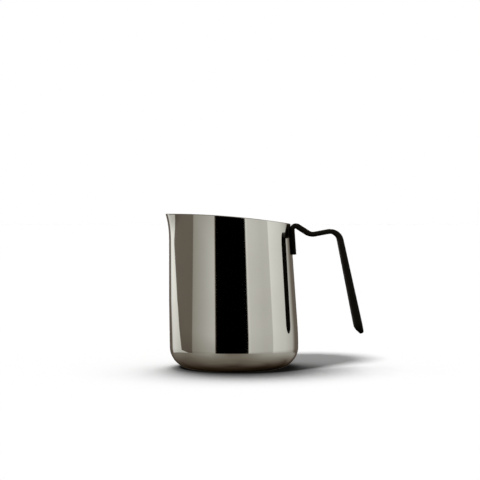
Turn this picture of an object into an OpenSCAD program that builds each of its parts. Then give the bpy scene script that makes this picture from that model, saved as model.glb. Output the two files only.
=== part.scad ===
// Milk frothing pitcher: a drawn steel body with a slanted rim and a fluted spout,
// and an open handle bent from one strip, projection-welded to the back of the body.
// Millimetres. +Z is up, the handle points to +X and the spout to -X.
// The origin is the middle of the ring that the pitcher stands on.

/* [Body] */
// Outer radius of the body at its widest, just above the foot
body_r = 40; // [36:0.5:44]
// Loss of radius of the round wall for each millimetre of height
wall_taper = 0.0496; // [0.03:0.0002:0.06]
// Shift of the round wall's centre towards the spout for each millimetre of height
wall_lean = 0.0216; // [0.01:0.0002:0.025]
// Thickness of the sheet
wall = 0.9; // [0.6:0.1:1.4]
// Height of the rim at the spout
lip_z = 95.6; // [92:0.1:110]
// Height of the rim at the handle
back_z = 89.5; // [88:0.1:90.5]

/* [Foot] */
// Radius of the rounded corner between the wall and the base
foot_r = 13; // [8:0.5:16]
// Width of the flat ring that the pitcher stands on
ring_w = 3; // [2:0.5:6]
// Height of the hollow pressed into the base
kick_h = 1.2; // [0.5:0.1:2.5]
// Width of the slope between the ring and the hollow
kick_w = 3; // [2:0.5:6]

/* [Spout] */
// How far the spout's front wall stands beyond the body radius
spout_proud = 0.45; // [0.2:0.05:2]
// Half angle of the spout's rounded front
front_half = 17; // [12:1:24]
// Half angle at which the flutes run out into the round wall
flute_half = 51; // [40:1:70]
// How far the lip turns outwards at the rim
flare = 2.3; // [0.5:0.1:4]
// Height over which the lip turns outwards
flare_h = 18; // [10:1:25]

/* [Handle] */
// Thickness of the strip at the pad
strip_t = 2.55; // [2.2:0.05:2.8]
// Thickness of the strip where it comes down from the hump
hump_t = 3.4; // [2.6:0.1:3.6]
// Thickness of the strip under the thumb rest
saddle_t = 2.9; // [2.6:0.1:3.4]
// Thickness of the strip at the top of the grip
crest_t = 3.4; // [2.8:0.1:3.8]
// Width of the strip at the pad
strip_w = 14; // [12:0.5:15]
// Thickness of the strip at the free end of the grip
blade_t = 4.95; // [3.8:0.05:5.2]
// Width of the grip
blade_w = 16.4; // [14:0.2:20]
// Height of the pad's lower end
pad_z = 70.3; // [66:0.1:74]
// Height of the grip's free end
tip_z = 20.8; // [18:0.1:30]
// Distance of the grip's free end from the body's axis
tip_x = 78.35; // [76:0.05:84]
// Centreline radius of the bend above the rim
hump_r = 2.1; // [2:0.1:2.4]
// Centreline radius of the thumb rest's hollow
saddle_r = 6.8; // [5:0.1:9]
// Centreline radius of the bend into the grip
crest_r = 6.5; // [5:0.1:8]

/* [Welds] */
// Gap that the projection welds leave between the pad and the wall
weld_gap = 0.2; // [0.15:0.05:0.3]
// Diameter of a weld nugget
weld_d = 4; // [3:0.5:5]

/* [Hidden] */

sides = 72;              // steps round the body
foot_steps = 8;          // steps of the foot's arc
wall_steps = 14;         // steps from the foot to the rim
rim_steps = 4;           // steps over the rounded rim edge
blend_h = 14;            // height over which the wall bends into its taper
flare_power = 2.5;       // how late the lip's flare sets in
flute_soft = 0.12;       // softness of the crease beside the spout's front

foot_in_r = body_r - foot_r;
ring_in_r = foot_in_r - ring_w;
hollow_r = ring_in_r - kick_w;

hump = [35.95, 90.0];    // corners of the strip's centreline, x and z
saddle = [47.6, 82.5];
crest = [64.7, 85.7];
bend_steps = 8;          // steps of each bend
grip_steps = 6;          // steps along the straight grip
tip_steps = 9;           // steps round the free end
edge_step = 30;          // degrees between points on the strip's round edges
tip_runout = 5.6;        // length over which the grip's inner face runs out
tip_pared = 2.9;         // thickness that this takes off at the free end
tip_round = 1.6;         // corner radius between the outer face and the free end
pad_corner = 1.5;        // corner radius of the pad's lower end
pad_proud = 2.15;        // outer face of the pad, measured from the wall
pad_hollow = 0.6;        // depth of the pad's hollow back, which follows the round wall
weld_zs = [74.2, 81.2];  // heights of the two welds
weld_clear = 0.05;       // a nugget's faces end just short of the curved wall and pad

function clamp01(v) = max(0, min(1, v));
function polar(r, z, a) = [r * cos(a), r * sin(a), z];

// The wall leaves the foot upright, then bends into a steady slope.
function slope_z(z) =
    z < foot_r ? 0
    : z < foot_r + blend_h ? (z - foot_r) ^ 2 / (2 * blend_h)
    : z - foot_r - blend_h / 2;
function round_r(z) = body_r - wall_taper * slope_z(z);
function round_x(z) = -wall_lean * slope_z(z);
function back_x(z) = round_x(z) + round_r(z);

// The spout's front stays upright while the rest of the wall leans in.
function spout_x(z) =
    body_r
    + spout_proud * clamp01((z - foot_r) / (2 * blend_h))
    + flare * clamp01((z - lip_z + flare_h) / flare_h) ^ flare_power;
function spout_rise(z) = spout_x(z) + round_x(z) - round_r(z);

// One on the spout's front, falling to zero where the flutes run out.
function flute(a) =
    let (t = (a - front_half) / (flute_half - front_half))
    (1 - clamp01((t + sqrt(t ^ 2 + flute_soft ^ 2)) / 2)) ^ 2;

// A point of the wall at angle a from the handle, moved inwards by inset.
function wall_point(a, z, inset) =
    let (r = round_r(z) + spout_rise(z) * flute(abs(180 - a)) - inset)
    [round_x(z) + r * cos(a), r * sin(a), z];

// The rim falls in a parabola from the spout to the handle.
function rim_z(a) =
    let (front = -spout_x(back_z), x = wall_point(a, back_z, 0).x)
    lip_z - (lip_z - back_z) * ((x - front) / (back_x(back_z) - front)) ^ 2;

// Cosine spacing puts more rows near the foot and near the lip.
function wall_z(a, step) =
    foot_r + (rim_z(a) - wall / 2 - foot_r) * (1 - cos(180 * step / wall_steps)) / 2;

function foot_point(a, step, inset) =
    let (b = 90 * step / foot_steps, r = foot_r - inset)
    polar(foot_in_r + r * sin(b), foot_r - r * cos(b), a);

// The section at angle a: round the foot, up the outside, over the rim and back inside.
function profile(a) = concat(
    [for (i = [0 : foot_steps]) foot_point(a, i, 0)],
    [for (i = [1 : wall_steps]) wall_point(a, wall_z(a, i), 0)],
    [for (i = [1 : rim_steps - 1])
        let (b = 180 * i / rim_steps)
        wall_point(a, rim_z(a) - wall / 2 * (1 - sin(b)), wall / 2 * (1 - cos(b)))],
    [for (i = [wall_steps : -1 : 1]) wall_point(a, wall_z(a, i), wall)],
    [for (i = [foot_steps : -1 : 0]) foot_point(a, i, wall)]
);

// Faces of a skin over equal rings, closed by one point at each end.
function skin_faces(rings, n) = concat(
    [for (j = [0 : n - 1]) [0, 1 + j, 1 + (j + 1) % n]],
    [for (i = [0 : rings - 2], j = [0 : n - 1])
        let (k = (j + 1) % n, a = 1 + i * n, b = a + n)
        each [[a + j, b + j, b + k], [a + j, b + k, a + k]]],
    [for (j = [0 : n - 1])
        let (a = 1 + (rings - 1) * n)
        [a + j, a + n, a + (j + 1) % n]]
);

// The foot and the wall: a tube whose section closes on itself.
module wall_and_foot() {
    sections = [for (i = [0 : sides - 1]) profile(360 * i / sides)];
    rings = len(sections[0]);
    points = [for (r = [0 : rings - 1], i = [0 : sides - 1]) sections[i][r]];
    faces = [for (i = [0 : rings - 1], j = [0 : sides - 1])
        let (k = (j + 1) % sides, a = i * sides, b = (i + 1) % rings * sides)
        each [[a + j, b + j, b + k], [a + j, b + k, a + k]]];
    polyhedron(points, faces, convexity = 6);
}

function outline(r, z) = [for (i = [0 : sides - 1]) polar(r, z, 360 * i / sides)];

// The flat ring that the pitcher stands on.
module standing_ring() {
    linear_extrude(wall)
    difference() {
        polygon([for (p = outline(foot_in_r, 0)) [p.x, p.y]]);
        polygon([for (p = outline(ring_in_r, 0)) [p.x, p.y]]);
    }
}

// The hollow pressed into the base, inside the standing ring.
module base_hollow() {
    points = concat(
        [[0, 0, kick_h]],
        outline(hollow_r, kick_h),
        outline(ring_in_r, 0),
        outline(ring_in_r, wall),
        outline(hollow_r, kick_h + wall),
        [[0, 0, kick_h + wall]]
    );
    polyhedron(points, skin_faces(4, sides), convexity = 2);
}

module body_shell() {
    color("#8f8c80")
    union() {
        wall_and_foot();
        standing_ring();
        base_hollow();
    }
}

function unit(v) = v / norm(v);
function turned(v, a) = [v.x * cos(a) - v.y * sin(a), v.x * sin(a) + v.y * cos(a)];

// The arc that rounds corner c, between points p and q.
function bend(p, c, q, r) =
    let (
        back = unit(p - c),
        ahead = unit(q - c),
        half = acos(back * ahead) / 2,
        centre = c + unit(back + ahead) * r / sin(half),
        start = c + back * r / tan(half) - centre,
        sweep = sign(cross(c - p, q - c)) * (180 - 2 * half)
    )
    [for (i = [0 : bend_steps]) centre + turned(start, sweep * i / bend_steps)];

pad_end = [back_x(pad_z) + pad_proud - strip_t / 2, pad_z];
tip = [tip_x, tip_z];
crest_arc = bend(saddle, crest, tip, crest_r);
grip_top = crest_arc[bend_steps];
grip_len = norm(tip - grip_top);
grip_dir = (tip - grip_top) / grip_len;
tip_len = blade_w / 2;

// The strip's section, as [across, up from the centreline], with round edges.
strip_section = concat(
    [for (a = [-90 : edge_step : 90])
        [strip_w / 2 - strip_t / 2 * (1 - cos(a)), strip_t / 2 * sin(a)]],
    [for (i = [1 : 4]) [(strip_w - strip_t) / 2 * (1 - 0.4 * i), strip_t / 2]],
    [for (a = [90 : edge_step : 270])
        [-strip_w / 2 + strip_t / 2 * (1 + cos(a)), strip_t / 2 * sin(a)]]
);

// One section placed at p, heading along dir: w and t scale it, hollow dishes the
// face that looks at the body, and the last two values are pared off the inner and
// the outer face.
function strip_ring(p, dir, w, t, hollow, inner, outer) =
    let (left = [-dir.y, dir.x])
    [for (s = strip_section)
        let (
            dish = s.y > 0 ? hollow * (1 - (2 * s.x / strip_w) ^ 2) : 0,
            up = s.y * (t - inner - outer) / strip_t + (inner - outer) / 2 - dish,
            q = p + left * up
        )
        [q.x, s.x * w / strip_w, q.y]];

// The pad's lower end, with small rounded corners.
pad_dir = unit(hump - pad_end);
pad_rings = [for (a = [0 : 30 : 90])
    strip_ring(pad_end + pad_dir * pad_corner * (1 - cos(a)), pad_dir,
        strip_w - 2 * pad_corner * (1 - sin(a)), strip_t, pad_hollow, 0, 0)];

// Along a bend the hollow fades out, the thickness goes from t to t_end, and the
// width goes from strip_w to w_end.
function bend_rings(arc, hollow, t, t_end, w_end) =
    [for (i = [0 : bend_steps])
        let (
            before = arc[max(0, i - 1)],
            after = arc[min(bend_steps, i + 1)],
            f = i / bend_steps
        )
        strip_ring(arc[i], unit(after - before), strip_w + (w_end - strip_w) * f,
            t + (t_end - t) * f, hollow * (1 - f) ^ 2, 0, 0)];

// The grip thickens steadily towards its free end.
function grip_ring(d, trim, inner, outer) =
    strip_ring(grip_top + grip_dir * d, grip_dir, blade_w * trim,
        crest_t + (blade_t - crest_t) * d / grip_len, 0, inner, outer);
grip_rings = [for (i = [1 : grip_steps])
    grip_ring((grip_len - tip_len) * i / grip_steps, 1, 0, 0)];

// The free end is round seen from the front; both faces run out towards it.
function tip_inner(left) = tip_pared * (1 - min(1, left / tip_runout)) ^ 2;
function tip_outer(left) = tip_round * (1 - sqrt(1 - (1 - min(1, left / tip_round)) ^ 2));
tip_rings = [for (i = [1 : tip_steps - 1])
    let (a = 90 * i / tip_steps, left = tip_len * (1 - sin(a)))
    grip_ring(grip_len - left, cos(a), tip_inner(left), tip_outer(left))];

module handle() {
    rings = concat(
        pad_rings,
        bend_rings(bend(pad_end, hump, saddle, hump_r), pad_hollow, strip_t, hump_t, strip_w),
        bend_rings(bend(hump, saddle, crest, saddle_r), 0, hump_t, saddle_t, strip_w),
        bend_rings(crest_arc, 0, saddle_t, crest_t, blade_w),
        grip_rings,
        tip_rings
    );
    tip_face = tip + [-grip_dir.y, grip_dir.x] * (tip_pared - tip_round) / 2;
    points = concat(
        [[pad_end.x, 0, pad_end.y]],
        [for (r = rings) each r],
        [[tip_face.x, 0, tip_face.y]]
    );
    color("#17150f") polyhedron(points, skin_faces(len(rings), len(strip_section)), convexity = 8);
}

module weld_nuggets() {
    wall_angle = atan(wall_taper + wall_lean);
    color("#4a463c")
    for (z = weld_zs)
        translate([back_x(z), 0, z])
        rotate([0, 90 - wall_angle, 0])
        translate([0, 0, weld_clear])
        cylinder(d = weld_d, h = weld_gap - weld_clear, $fn = 48);
}

body_shell();
handle();
weld_nuggets();
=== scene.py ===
"""Milk frothing pitcher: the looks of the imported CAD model, in metres, in the CAD frame.

The body and the handle are rebuilt as fine meshes from the same rules as the CAD solids, so that
the polished steel reflects without facets. The studio is a white floor, two soft lights and the
room that the steel mirrors.
"""

import math

import bpy
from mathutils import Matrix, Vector


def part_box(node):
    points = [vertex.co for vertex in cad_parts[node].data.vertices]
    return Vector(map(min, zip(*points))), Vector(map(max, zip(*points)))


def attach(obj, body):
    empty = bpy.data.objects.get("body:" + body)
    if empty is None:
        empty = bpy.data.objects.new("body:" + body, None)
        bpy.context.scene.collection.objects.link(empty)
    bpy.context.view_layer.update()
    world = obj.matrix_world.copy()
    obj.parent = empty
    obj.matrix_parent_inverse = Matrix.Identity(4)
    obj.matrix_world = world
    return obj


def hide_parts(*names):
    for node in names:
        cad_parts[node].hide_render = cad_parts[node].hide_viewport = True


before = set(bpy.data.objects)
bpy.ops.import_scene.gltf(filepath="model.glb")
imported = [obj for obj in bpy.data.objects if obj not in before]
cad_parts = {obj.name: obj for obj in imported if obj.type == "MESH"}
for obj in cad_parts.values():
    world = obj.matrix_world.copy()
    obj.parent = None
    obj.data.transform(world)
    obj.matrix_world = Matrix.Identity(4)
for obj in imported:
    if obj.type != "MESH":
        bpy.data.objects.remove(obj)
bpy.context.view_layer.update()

MM = 0.001


# ---------------------------------------------------------------- sizes, in millimetres

def in_mm(corner):
    """A corner of a box in millimetres."""
    return [value / MM for value in corner]


shell_high = in_mm(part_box("body_shell")[1])

BODY_R = shell_high[1]          # outer radius just above the foot
LIP_Z = shell_high[2]           # rim height at the spout
BACK_Z = LIP_Z - 6.1            # rim height at the handle
WALL = 0.9                      # thickness of the sheet
WALL_TAPER = 0.0496             # loss of radius for each millimetre of height
WALL_LEAN = 0.0216              # shift of the wall's centre towards the spout, likewise
FOOT_R = 13.0                   # rounded corner between wall and base
FOOT_IN_R = BODY_R - FOOT_R     # where that corner meets the standing ring
RING_IN_R = FOOT_IN_R - 3.0     # inside of the standing ring
HOLLOW_R = RING_IN_R - 3.0      # edge of the hollow under the base
KICK_H = 1.2                    # height of the hollow
BLEND_H = 14.0                  # height over which the wall bends into its taper
SPOUT_PROUD = 0.45              # how far the spout's front stands beyond the body radius
FRONT_HALF = 17.0               # half angle of the spout's rounded front
FLUTE_HALF = 51.0               # half angle at which the flutes run out
FLUTE_SOFT = 0.12               # softness of the crease beside the front
FLARE = 2.28                    # how far the lip turns out
FLARE_H = 18.0                  # height over which it turns out
FLARE_POWER = 2.5               # how late the flare sets in

STRIP_T, STRIP_W = 2.55, 14.0   # thickness and width of the handle strip at the pad
HUMP_T = 3.4                    # thickness at the end of the bend over the rim
SADDLE_T = 2.9                  # at the end of the bend before the thumb rest
CREST_T = 3.4                   # at the end of the bend into the grip
BLADE_T = 4.95                  # at the free end of the grip
BLADE_W = 16.4                  # width of the grip
PAD_Z = 70.3                    # lower end of the pad
PAD_PROUD = 2.15                # outer face of the pad beyond the wall
PAD_HOLLOW = 0.6                # dished back of the pad, which follows the wall
PAD_CORNER = 1.5                # corner radius of the pad's lower end
TIP = Vector((78.35, 20.8))     # free end of the grip, x and z
TIP_RUNOUT = 5.6                # length over which the grip's inner face runs out
TIP_PARED = 2.9                 # thickness that this takes off at the free end
TIP_ROUND = 1.6                 # corner radius between the outer face and the free end
HUMP = Vector((35.95, 90.0))    # corners of the strip's centreline, x and z
SADDLE = Vector((47.6, 82.5))
CREST = Vector((64.7, 85.7))
HUMP_R, SADDLE_R, CREST_R = 2.1, 6.8, 6.5   # radii that round them

SIDES = 240                     # steps round the body
WALL_STEPS = 56                 # steps from the foot to the rim
FOOT_STEPS = 20                 # steps of the foot's arc
RIM_STEPS = 8                   # steps over the rounded rim edge
BASE_STEPS = 8                  # steps of each stretch of the base
BEND_STEPS = 22                 # steps of each bend of the handle
GRIP_STEPS = 16                 # steps along the straight grip
TIP_STEPS = 18                  # steps round the free end
EDGE_STEPS = 10                 # steps over the strip's round edges
FACE_STEPS = 12                 # steps across the strip's faces


# ---------------------------------------------------------------- meshes

def skin(name, rings, start, end, ring_slots=None):
    """A closed mesh over equal rings, from a point at the start to a point at the end."""
    count = len(rings[0])
    points = [start] + [point for ring in rings for point in ring] + [end]
    last = len(points) - 1
    faces, slots = [], []
    for j in range(count):
        faces.append((0, 1 + (j + 1) % count, 1 + j))
        slots.append(ring_slots[0] if ring_slots else 0)
    for i in range(len(rings) - 1):
        low, high = 1 + i * count, 1 + (i + 1) * count
        for j in range(count):
            k = (j + 1) % count
            faces.append((low + j, low + k, high + k, high + j))
            slots.append(ring_slots[i] if ring_slots else 0)
    top = last - count
    for j in range(count):
        faces.append((top + j, top + (j + 1) % count, last))
        slots.append(ring_slots[-1] if ring_slots else 0)

    mesh = bpy.data.meshes.new(name)
    mesh.from_pydata([Vector(point) * MM for point in points], [], faces)
    mesh.polygons.foreach_set("material_index", slots)
    mesh.polygons.foreach_set("use_smooth", [True] * len(faces))
    mesh.validate()
    mesh.update()
    piece = bpy.data.objects.new(name, mesh)
    bpy.context.scene.collection.objects.link(piece)
    return piece


def clamp01(value):
    return max(0.0, min(1.0, value))


def ease(value):
    value = clamp01(value)
    return value * value * (3 - 2 * value)


def polar(r, z, a):
    return (r * math.cos(a), r * math.sin(a), z)


def slope_z(z):
    """The wall leaves the foot upright, then bends into a steady slope."""
    if z < FOOT_R:
        return 0.0
    if z < FOOT_R + BLEND_H:
        return (z - FOOT_R) ** 2 / (2 * BLEND_H)
    return z - FOOT_R - BLEND_H / 2


def round_r(z):
    return BODY_R - WALL_TAPER * slope_z(z)


def round_x(z):
    return -WALL_LEAN * slope_z(z)


def back_x(z):
    return round_x(z) + round_r(z)


def spout_x(z):
    """Reach of the spout's front, which stays upright and turns out at the lip."""
    proud = SPOUT_PROUD * clamp01((z - FOOT_R) / (2 * BLEND_H))
    return BODY_R + proud + FLARE * clamp01((z - LIP_Z + FLARE_H) / FLARE_H) ** FLARE_POWER


def flute(a):
    """One on the spout's front, falling to zero where the flutes run out. Degrees."""
    t = (a - FRONT_HALF) / (FLUTE_HALF - FRONT_HALF)
    return (1 - clamp01((t + math.hypot(t, FLUTE_SOFT)) / 2)) ** 2


def wall_point(a, z, inset):
    """A point of the wall at angle a from the handle, moved inwards by inset."""
    rise = spout_x(z) + round_x(z) - round_r(z)
    r = round_r(z) + rise * flute(abs(180 - math.degrees(a))) - inset
    return (round_x(z) + r * math.cos(a), r * math.sin(a), z)


def rim_z(a):
    """The rim falls in a parabola from the spout to the handle."""
    front = -spout_x(BACK_Z)
    x = wall_point(a, BACK_Z, 0)[0]
    return LIP_Z - (LIP_Z - BACK_Z) * ((x - front) / (back_x(BACK_Z) - front)) ** 2


def wall_z(a, step):
    spread = (1 - math.cos(math.pi * step / WALL_STEPS)) / 2
    return FOOT_R + (rim_z(a) - WALL / 2 - FOOT_R) * spread


def foot_point(a, step, inset):
    b = math.pi / 2 * step / FOOT_STEPS
    r = FOOT_R - inset
    return polar(FOOT_IN_R + r * math.sin(b), FOOT_R - r * math.cos(b), a)


def base_points(a, inset):
    """From the middle of the base outwards: the hollow, its slope and the standing ring."""
    flat = [(HOLLOW_R * step / BASE_STEPS, KICK_H) for step in range(1, BASE_STEPS)]
    slope = [
        (HOLLOW_R + (RING_IN_R - HOLLOW_R) * step / BASE_STEPS,
         KICK_H * (1 - ease(step / BASE_STEPS)))
        for step in range(BASE_STEPS + 1)
    ]
    return [polar(r, z + inset, a) for r, z in flat + slope]


def profile(a):
    """The section at angle a, from under the base, over the rim and back down inside."""
    outside = [foot_point(a, step, 0) for step in range(FOOT_STEPS + 1)]
    outside += [wall_point(a, wall_z(a, step), 0) for step in range(1, WALL_STEPS + 1)]
    edge = []
    for step in range(1, RIM_STEPS):
        b = math.pi * step / RIM_STEPS
        drop = WALL / 2 * (1 - math.sin(b))
        edge.append(wall_point(a, rim_z(a) - drop, WALL / 2 * (1 - math.cos(b))))
    inside = [wall_point(a, wall_z(a, step), WALL) for step in range(WALL_STEPS, 0, -1)]
    inside += [foot_point(a, step, WALL) for step in range(FOOT_STEPS, -1, -1)]
    return base_points(a, 0), outside, edge, inside, base_points(a, WALL)[::-1]


def make_body():
    """The drawn shell, with the outside, the rim edge, the inside and the base as slots."""
    sections = [profile(2 * math.pi * i / SIDES) for i in range(SIDES)]
    rings, slots = [], []
    for stretch, slot in enumerate((3, 0, 1, 2, 2)):
        for i in range(len(sections[0][stretch])):
            rings.append([section[stretch][i] for section in sections])
            slots.append(slot)
    return skin("body", rings, (0, 0, KICK_H), (0, 0, KICK_H + WALL), slots)


def bend(p, c, q, r):
    """The arc that rounds corner c, between points p and q."""
    back, ahead = (p - c).normalized(), (q - c).normalized()
    half = back.angle(ahead) / 2
    centre = c + (back + ahead).normalized() * r / math.sin(half)
    start = c + back * r / math.tan(half) - centre
    turn = math.copysign(math.pi - 2 * half, (c - p).cross(q - c))
    arc = []
    for i in range(BEND_STEPS + 1):
        sine, cosine = math.sin(turn * i / BEND_STEPS), math.cos(turn * i / BEND_STEPS)
        arc.append(centre + Vector((start.x * cosine - start.y * sine,
                                    start.x * sine + start.y * cosine)))
    return arc


def strip_section():
    """The strip's outline, as (across, up from the centreline), with round edges."""
    half, r = STRIP_W / 2, STRIP_T / 2
    right, left = [], []
    for i in range(EDGE_STEPS + 1):
        b = math.pi * (i / EDGE_STEPS - 0.5)
        right.append((half - r * (1 - math.cos(b)), r * math.sin(b)))
        left.append((-half + r * (1 - math.cos(b)), -r * math.sin(b)))
    across = [(half - r) * (1 - 2 * i / FACE_STEPS) for i in range(1, FACE_STEPS)]
    return right + [(y, r) for y in across] + left + [(-y, -r) for y in across]


SECTION = strip_section()


def strip_ring(p, heading, w=STRIP_W, t=STRIP_T, hollow=0.0, inner=0.0, outer=0.0):
    """One section at p: w and t scale it, hollow dishes the face towards the body's wall,
    and the last two are pared off the grip's inner and outer face."""
    ring = []
    for across, up in SECTION:
        dish = hollow * (1 - (2 * across / STRIP_W) ** 2) if up > 0 else 0.0
        lift = up * (t - inner - outer) / STRIP_T + (inner - outer) / 2 - dish
        x = p.x - heading.y * lift
        z = p.y + heading.x * lift
        ring.append((x, across * w / STRIP_W, z))
    return ring


def bend_rings(arc, t, t_end, w_end=STRIP_W, hollow=0.0):
    """The sections of one bend; along it the hollow fades out and the size changes."""
    rings = []
    for i, point in enumerate(arc):
        before, after = arc[max(0, i - 1)], arc[min(BEND_STEPS, i + 1)]
        share = i / BEND_STEPS
        rings.append(strip_ring(point, (after - before).normalized(),
                                w=STRIP_W + (w_end - STRIP_W) * share,
                                t=t + (t_end - t) * share,
                                hollow=hollow * (1 - share) ** 2))
    return rings


def make_handle():
    """The bent strip: pad, hump over the rim, thumb rest and grip."""
    pad_end = Vector((back_x(PAD_Z) + PAD_PROUD - STRIP_T / 2, PAD_Z))
    pad_up = (HUMP - pad_end).normalized()
    rings = []
    for i in range(EDGE_STEPS + 1):
        b = math.pi / 2 * i / EDGE_STEPS
        point = pad_end + pad_up * PAD_CORNER * (1 - math.cos(b))
        width = STRIP_W - 2 * PAD_CORNER * (1 - math.sin(b))
        rings.append(strip_ring(point, pad_up, w=width, hollow=PAD_HOLLOW))
    rings += bend_rings(bend(pad_end, HUMP, SADDLE, HUMP_R), STRIP_T, HUMP_T, hollow=PAD_HOLLOW)
    rings += bend_rings(bend(HUMP, SADDLE, CREST, SADDLE_R), HUMP_T, SADDLE_T)
    crest_arc = bend(SADDLE, CREST, TIP, CREST_R)
    rings += bend_rings(crest_arc, SADDLE_T, CREST_T, w_end=BLADE_W)

    top = crest_arc[-1]
    length = (TIP - top).length
    down = (TIP - top).normalized()

    def grip_ring(d, trim=1.0, inner=0.0, outer=0.0):
        thickness = CREST_T + (BLADE_T - CREST_T) * d / length
        return strip_ring(top + down * d, down, w=BLADE_W * trim, t=thickness,
                          inner=inner, outer=outer)

    straight = length - BLADE_W / 2
    rings += [grip_ring(straight * i / GRIP_STEPS) for i in range(1, GRIP_STEPS + 1)]
    for i in range(1, TIP_STEPS):
        b = math.pi / 2 * i / TIP_STEPS
        left = BLADE_W / 2 * (1 - math.sin(b))
        inner = TIP_PARED * (1 - min(1, left / TIP_RUNOUT)) ** 2
        outer = TIP_ROUND * (1 - math.sqrt(1 - (1 - min(1, left / TIP_ROUND)) ** 2))
        rings.append(grip_ring(length - left, math.cos(b), inner, outer))
    tip_face = TIP + Vector((-down.y, down.x)) * (TIP_PARED - TIP_ROUND) / 2
    return skin("handle_strip", rings, (pad_end.x, 0, pad_end.y), (tip_face.x, 0, tip_face.y))


# ---------------------------------------------------------------- materials

class Nodes:
    """A short way to write a node tree."""

    def __init__(self, tree):
        self.tree = tree
        tree.nodes.clear()

    def add(self, kind, **settings):
        node = self.tree.nodes.new("ShaderNode" + kind)
        for name, value in settings.items():
            setattr(node, name, value)
        return node

    def link(self, source, target):
        self.tree.links.new(source, target)

    def fill(self, socket, value):
        """Sets a socket, or links it if the value is another node's socket."""
        if isinstance(value, bpy.types.NodeSocket):
            self.link(value, socket)
        else:
            socket.default_value = value

    def math(self, operation, a, b=0.0):
        node = self.add("Math", operation=operation)
        self.fill(node.inputs[0], a)
        self.fill(node.inputs[1], b)
        return node.outputs[0]

    def span(self, value, low, high, to_low=0.0, to_high=1.0):
        node = self.add("MapRange")
        for name, number in zip(("Value", "From Min", "From Max", "To Min", "To Max"),
                                (value, low, high, to_low, to_high)):
            self.fill(node.inputs[name], number)
        return node.outputs[0]

    def mix(self, share, a, b):
        node = self.add("Mix", data_type="RGBA")
        self.fill(node.inputs["Factor"], share)
        self.fill(node.inputs["A"], a)
        self.fill(node.inputs["B"], b)
        return node.outputs["Result"]

    def noise(self, vector, scale, detail=3.0, roughness=0.55):
        node = self.add("TexNoise")
        self.fill(node.inputs["Vector"], vector)
        node.inputs["Scale"].default_value = scale
        node.inputs["Detail"].default_value = detail
        node.inputs["Roughness"].default_value = roughness
        return node.outputs["Fac"]

    def ramp(self, value, stops):
        """A colour ramp: stops are (position, colour)."""
        node = self.add("ValToRGB")
        elements = node.color_ramp.elements
        while len(elements) < len(stops):
            elements.new(1.0)
        for element, (position, colour) in zip(elements, stops):
            element.position = position
            element.color = colour
        self.link(value, node.inputs[0])
        return node.outputs["Color"]

    def bump(self, height, strength, distance):
        node = self.add("Bump")
        node.inputs["Strength"].default_value = strength
        node.inputs["Distance"].default_value = distance
        self.link(height, node.inputs["Height"])
        return node.outputs["Normal"]

    def shader(self, colour, roughness, normal=None, **fixed):
        """The Principled shader and the output; fixed values go straight on its sockets."""
        node = self.add("BsdfPrincipled")
        self.fill(node.inputs["Base Color"], colour)
        self.fill(node.inputs["Roughness"], roughness)
        if normal is not None:
            self.link(normal, node.inputs["Normal"])
        for name, value in fixed.items():
            node.inputs[name.replace("_", " ")].default_value = value
        self.link(node.outputs[0], self.add("OutputMaterial").inputs["Surface"])

    def place(self):
        """Object coordinates, in metres."""
        return self.add("TexCoord").outputs["Object"]

    def turned_place(self, around, along, outwards):
        """Coordinates round the body's axis: angle, height and radius, each scaled."""
        split = self.add("SeparateXYZ")
        self.link(self.place(), split.inputs[0])
        x, y, z = split.outputs
        angle = self.math("ARCTAN2", y, x)
        radius = self.math("SQRT", self.math("ADD", self.math("MULTIPLY", x, x),
                                             self.math("MULTIPLY", y, y)))
        join = self.add("CombineXYZ")
        self.link(self.math("MULTIPLY", angle, around), join.inputs[0])
        self.link(self.math("MULTIPLY", z, along), join.inputs[1])
        self.link(self.math("MULTIPLY", radius, outwards), join.inputs[2])
        return join.outputs[0]


def new_material(name):
    material = bpy.data.materials.new(name)
    material.use_nodes = True
    return material, Nodes(material.node_tree)


def rgb(r, g, b):
    return (r, g, b, 1.0)


def polished_steel():
    """Mirror-polished, warm graphite tint, with a faint haze and polishing lines."""
    material, n = new_material("polished_steel")
    haze = n.noise(n.place(), 38.0, 4.0)
    lines = n.noise(n.turned_place(3.0, 2600.0, 0.0), 1.0, 2.0)
    colour = n.mix(n.span(haze, 0.3, 0.7), rgb(0.60, 0.592, 0.515), rgb(0.635, 0.628, 0.55))
    gloss = n.span(haze, 0.35, 0.75, 0.035, 0.06)
    gloss = n.math("ADD", gloss, n.span(lines, 0.45, 0.8, 0.0, 0.025))
    relief = n.bump(lines, 0.02, 0.00002)
    n.shader(colour, gloss, relief, Metallic=1.0)
    return material


def cut_steel():
    """The rim's edge: ground after trimming, then lightly polished."""
    material, n = new_material("rim_edge_steel")
    grind = n.noise(n.turned_place(420.0, 300.0, 300.0), 1.0, 3.0)
    colour = n.mix(grind, rgb(0.36, 0.345, 0.30), rgb(0.52, 0.51, 0.45))
    n.shader(colour, n.span(grind, 0.3, 0.7, 0.16, 0.30), n.bump(grind, 0.15, 0.00003),
             Metallic=1.0)
    return material


def brushed_steel(name, around, along, outwards):
    """Satin steel with brushing that runs where the coordinates are scaled least."""
    material, n = new_material(name)
    fine = n.noise(n.turned_place(around, along, outwards), 1.0, 4.0, 0.65)
    broad = n.noise(n.turned_place(around * 0.4, along * 0.12, outwards * 0.12), 1.0, 2.0)
    blotch = n.noise(n.place(), 30.0, 3.0)
    shade = n.math("ADD", n.math("MULTIPLY", fine, 0.6), n.math("MULTIPLY", broad, 0.4))
    colour = n.mix(n.span(shade, 0.3, 0.7), rgb(0.50, 0.49, 0.445), rgb(0.64, 0.63, 0.575))
    gloss = n.math("ADD", n.span(fine, 0.3, 0.7, 0.24, 0.36), n.span(blotch, 0.3, 0.7, -0.03, 0.03))
    n.shader(colour, gloss, n.bump(fine, 0.22, 0.00004), Metallic=1.0, Anisotropic=0.45)
    return material


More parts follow.
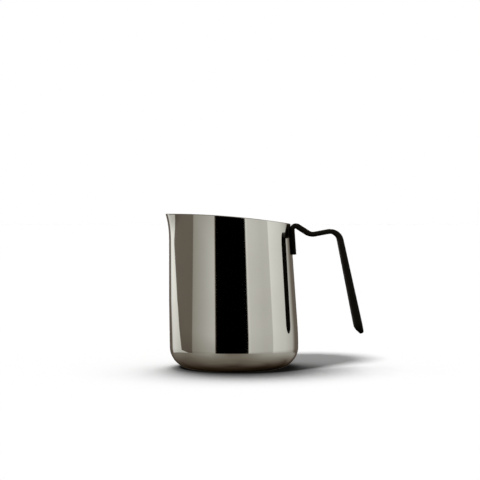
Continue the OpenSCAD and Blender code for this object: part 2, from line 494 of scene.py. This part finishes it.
def powder_coat():
    """Satin black coating: fine orange peel, a little dust and rubbed high spots."""
    material, n = new_material("black_powder_coat")
    peel = n.noise(n.place(), 1500.0, 2.0, 0.5)
    grain = n.noise(n.place(), 6000.0, 2.0, 0.6)
    rub = n.noise(n.place(), 70.0, 4.0, 0.6)
    dark, worn = rgb(0.0050, 0.0043, 0.0030), rgb(0.0080, 0.0068, 0.0050)
    colour = n.mix(n.span(rub, 0.35, 0.75), dark, worn)
    gloss = n.math("ADD", n.span(rub, 0.3, 0.75, 0.52, 0.42), n.span(grain, 0.3, 0.7, -0.03, 0.03))
    height = n.math("ADD", n.math("MULTIPLY", peel, 0.8), n.math("MULTIPLY", grain, 0.2))
    n.shader(colour, gloss, n.bump(height, 0.12, 0.00005), IOR=1.45, Specular_IOR_Level=0.1,
             Specular_Tint=rgb(1.0, 0.82, 0.58))
    return material


def weld_steel():
    """Weld metal with a straw to blue heat tint."""
    material, n = new_material("weld_steel")
    tint = n.noise(n.place(), 420.0, 3.0)
    colour = n.ramp(tint, [(0.3, rgb(0.10, 0.09, 0.10)), (0.5, rgb(0.32, 0.26, 0.17)),
                           (0.75, rgb(0.42, 0.39, 0.33))])
    n.shader(colour, n.span(tint, 0.3, 0.7, 0.35, 0.6), n.bump(tint, 0.4, 0.00005), Metallic=1.0)
    return material


# ---------------------------------------------------------------- studio

CAMERA = Vector((3.7, -840.0, 93.0)) * MM
CAMERA_TARGET = Vector((3.7, 0.0, 79.3)) * MM
LENS = 101.2
FLOOR_R = 30.0                  # the floor, in metres
FLOOR_SHADE_REACH = 0.07        # how far the floor's painted close shade reaches, in metres


def grey(value):
    return rgb(value, value, value)


FLOOR_WHITE = 0.80              # colour of the open floor
AMBIENT = 0.20                  # soft light from everywhere
KEY_SHARE = 0.70                # part of the floor's brightness that the key light gives
ALL_SHARES = 1.003              # what all lights give together, just past white
# Painted shade: the floor's colour by how open the space over it is, from closed in to open.
FLOOR_PAINTED_SHADE = [
    (0.35, grey(0.05)), (0.56, grey(0.15)), (0.65, grey(0.28)), (0.73, grey(0.49)),
    (0.80, grey(0.66)), (0.88, grey(0.76)), (0.94, grey(0.79)), (1.0, grey(FLOOR_WHITE)),
]
SHADE_TILT = (-0.3, 0.7, 1.0)   # the way it looks for openness; the painted shade falls mostly in front

# The room that the steel shows, as brightness by direction in degrees from the camera's side,
# positive towards the handle. Two stops close together make the edge of a card.
# Round the pitcher at eye level: a dark wall, then grey and white cards on both sides.
WALLS = [
    (-180, 0.12), (-160, 0.14), (-146, 0.18),
    (-140, 0.17), (-79.8, 0.16), (-78.8, 0.37), (-57, 0.51),
    (-39, 0.65), (-33.4, 0.68), (-32.2, 0.0), (26.0, 0.0),
    (26.8, 0.90), (30, 0.72), (45, 0.68), (57, 0.64),
    (73.3, 0.65), (74.5, 0.93), (87, 0.87), (105, 0.80),
    (118, 0.68), (128, 0.58), (136, 0.29), (141, 0.15), (155, 0.14), (180, 0.10),
]
# The white card at the spout's side has a slanted edge, so it is laid over the walls.
CARD = [(-145, 0.75), (-138, 1.18), (-128, 1.20), (-108, 1.0)]
CARD_EDGE, CARD_END, CARD_SLANT = -122.0, -143.0, 2.6
# The table further out, halfway and close to the pitcher, where it lies in the shade.
TABLE_FAR = [
    (-180, 0.0), (-168, 0.02), (-160, 0.07), (-147, 0.17), (-123, 0.24), (-93, 0.21),
    (-69, 0.30), (-45, 0.40), (-30, 0.33), (-18, 0.27), (-9, 0.205), (9, 0.21), (27, 0.28),
    (57, 0.43), (87, 0.48), (110, 0.43), (130, 0.41),
    (144, 0.34), (153, 0.16), (163, 0.03), (172, 0.0),
]
TABLE_MID = [
    (-180, 0.0), (-162, 0.01), (-154, 0.03), (-145, 0.055), (-135, 0.10), (-93, 0.16),
    (-69, 0.23), (-45, 0.28), (-9, 0.22), (9, 0.21), (33, 0.25), (57, 0.32), (87, 0.31),
    (105, 0.25), (120, 0.18), (132, 0.09), (141, 0.06), (151, 0.018), (160, 0.004),
    (180, 0.0),
]
TABLE_NEAR = [
    (-180, 0.01), (-147, 0.02), (-123, 0.06), (-93, 0.12), (-69, 0.16), (-9, 0.17),
    (15, 0.14), (45, 0.16), (69, 0.16), (87, 0.13), (105, 0.08), (129, 0.03),
    (147, 0.01), (180, 0.01),
]
# Heights in degrees over which one part of the room gives way to the next, going down.
CEILING_EDGE = (50.0, 25.0)
TABLE_EDGE = (-11.6, -13.4)
FAR_TO_MID = (-16.5, -32.0)
MID_TO_NEAR = (-32.0, -55.0)
NEAR_TO_BELOW = (-60.0, -86.0)
CEILING, BELOW = 0.22, 0.04     # brightness overhead and straight down
# How the walls' brightness changes with height, towards the spout and towards the handle.
SPOUT_SIDE = [(-12, 0.66), (-8, 0.66), (-5, 0.77), (-2, 0.98), (1, 1.0), (3.4, 1.05), (5, 0.84)]
HANDLE_SIDE = [(-13, 0.72), (-9, 0.80), (-5, 0.94), (-1, 0.99), (2, 1.03), (5, 1.10)]
# The warm tone that the dark parts of the room have: brightness and colour.
TONE = [
    (0.0, rgb(0.0, 0.0, 0.0)), (0.02, rgb(0.03, 0.019, 0.010)), (0.10, rgb(0.122, 0.099, 0.082)),
    (0.22, rgb(0.245, 0.219, 0.197)), (0.35, rgb(0.368, 0.35, 0.334)),
    (0.60, rgb(0.606, 0.60, 0.60)), (1.25, rgb(1.25, 1.25, 1.29)),
]


def make_world():
    """White for the camera, soft white light for matt surfaces, and the room for the steel."""
    world = bpy.data.worlds.new("studio")
    bpy.context.scene.world = world
    world.use_nodes = True
    n = Nodes(world.node_tree)
    split = n.add("SeparateXYZ")
    n.link(n.add("TexCoord").outputs["Generated"], split.inputs[0])
    x, y, z = split.outputs
    side = n.math("DEGREES", n.math("ARCTAN2", x, n.math("MULTIPLY", y, -1.0)))
    height = n.math("DEGREES", n.math("ARCSINE", z))

    def round_about(stops):
        return n.ramp(n.span(side, -180.0, 180.0),
                      [((degrees + 180) / 360, grey(value)) for degrees, value in stops])

    def up_and_down(stops):
        return n.ramp(n.span(height, -30.0, 30.0),
                      [((degrees + 30) / 60, grey(value)) for degrees, value in stops])

    slanted = n.math("ADD", side, n.math("MULTIPLY", height, CARD_SLANT))
    on_card = n.math("MULTIPLY", n.span(slanted, CARD_EDGE + 1.0, CARD_EDGE - 1.0),
                     n.span(side, CARD_END - 2.0, CARD_END + 2.0))
    walls = n.mix(on_card, round_about(WALLS), round_about(CARD))
    gain = n.mix(n.span(side, -2.0, 2.0), up_and_down(SPOUT_SIDE), up_and_down(HANDLE_SIDE))
    walls = n.math("MULTIPLY", walls, gain)
    table = n.mix(n.span(height, *FAR_TO_MID), round_about(TABLE_FAR), round_about(TABLE_MID))
    table = n.mix(n.span(height, *MID_TO_NEAR), table, round_about(TABLE_NEAR))
    table = n.mix(n.span(height, *NEAR_TO_BELOW), table, grey(BELOW))
    room = n.mix(n.span(height, *TABLE_EDGE), walls, table)
    room = n.mix(n.span(height, *CEILING_EDGE), grey(CEILING), room)
    brightest = TONE[-1][0]
    colour = n.ramp(n.span(room, 0.0, brightest),
                    [(value / brightest, tone) for value, tone in TONE])

    path = n.add("LightPath")
    steel = n.add("Background")
    n.link(colour, steel.inputs["Color"])
    soft = n.add("Background")
    soft.inputs["Color"].default_value = grey(1.0)
    soft.inputs["Strength"].default_value = AMBIENT
    white = n.add("Background")
    white.inputs["Color"].default_value = grey(1.0)
    lights = n.add("MixShader")
    n.link(path.outputs["Is Glossy Ray"], lights.inputs[0])
    n.link(soft.outputs[0], lights.inputs[1])
    n.link(steel.outputs[0], lights.inputs[2])
    seen = n.add("MixShader")
    n.link(path.outputs["Is Camera Ray"], seen.inputs[0])
    n.link(lights.outputs[0], seen.inputs[1])
    n.link(white.outputs[0], seen.inputs[2])
    n.link(seen.outputs[0], n.add("OutputWorld").inputs["Surface"])


def disc(name, radius, z, material):
    """A round sheet of the stage, facing up."""
    mesh = bpy.data.meshes.new(name)
    rim = [polar(radius, z, 2 * math.pi * i / 128) for i in range(128)]
    mesh.from_pydata(rim, [], [tuple(range(128))])
    mesh.materials.append(material)
    sheet = bpy.data.objects.new(name, mesh)
    bpy.context.scene.collection.objects.link(sheet)
    return sheet


def make_floor():
    """A white floor with painted shade: its colour darkens where something stands close over it."""
    material, n = new_material("white_floor")
    near = n.add("AmbientOcclusion", samples=16)
    near.inputs["Distance"].default_value = FLOOR_SHADE_REACH
    tilt = n.add("CombineXYZ")
    for socket, value in zip(tilt.inputs, SHADE_TILT):
        socket.default_value = value
    n.link(tilt.outputs[0], near.inputs["Normal"])
    # painted contact shade: the floor's colour darkens with how closed in the space over it is
    shade = n.ramp(near.outputs["AO"], FLOOR_PAINTED_SHADE)
    n.shader(shade, 0.9, Specular_IOR_Level=0.0)
    floor = disc("floor", FLOOR_R, 0.0, material)
    floor.visible_glossy = False
    floor.visible_diffuse = False


def soft_light(name, azimuth, elevation, spread, share):
    """A distant soft light; angles in degrees, azimuth from the camera's side towards the
    handle. Its share is the part of the floor's brightness that it gives."""
    data = bpy.data.lights.new(name, "SUN")
    data.angle = math.radians(spread)
    rise = math.radians(elevation)
    turn = math.radians(azimuth)
    data.energy = share * math.pi / FLOOR_WHITE / math.sin(rise)
    towards = Vector((math.sin(turn) * math.cos(rise), -math.cos(turn) * math.cos(rise),
                      math.sin(rise)))
    light = bpy.data.objects.new(name, data)
    light.rotation_mode = "QUATERNION"
    light.rotation_quaternion = towards.to_track_quat("Z", "Y")
    light.visible_glossy = False
    bpy.context.scene.collection.objects.link(light)
    return light


def make_lights(handle):
    """Together with the ambient light the shares make the floor just white. The key light
    leaves the handle out of the shadow on the floor."""
    key = soft_light("key", -47.0, 50.5, 12.0, KEY_SHARE)
    left_out = bpy.data.collections.new("no_key_shadow")
    left_out.objects.link(handle)
    left_out.collection_objects[0].light_linking.link_state = "EXCLUDE"
    key.light_linking.blocker_collection = left_out
    overhead_share = ALL_SHARES - KEY_SHARE - AMBIENT * FLOOR_WHITE
    soft_light("overhead", 175.0, 72.0, 50.0, overhead_share)


def make_camera():
    data = bpy.data.cameras.new("camera")
    data.lens = LENS
    data.sensor_width = 36.0
    data.clip_start = 0.05
    data.clip_end = 20.0
    camera = bpy.data.objects.new("camera", data)
    camera.location = CAMERA
    camera.rotation_mode = "QUATERNION"
    camera.rotation_quaternion = (CAMERA_TARGET - CAMERA).to_track_quat("-Z", "Y")
    bpy.context.scene.collection.objects.link(camera)
    bpy.context.scene.camera = camera


# ---------------------------------------------------------------- the pitcher

def stand_for(piece, node, materials):
    """A piece that takes a CAD node's place."""
    for material in materials:
        piece.data.materials.append(material)
    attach(piece, "root")
    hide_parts(node)


make_camera()
make_world()
make_floor()

stand_for(make_body(), "body_shell", [
    polished_steel(), cut_steel(),
    brushed_steel("inside_steel", 4.0, 1800.0, 0.0),
    brushed_steel("base_steel", 3.0, 0.0, 2200.0),
])
handle = make_handle()
stand_for(handle, "handle", [powder_coat()])
make_lights(handle)

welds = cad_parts["weld_nuggets"]
for material_slot in welds.material_slots:
    material_slot.material = weld_steel()

bpy.context.scene.view_settings.view_transform = "Standard"
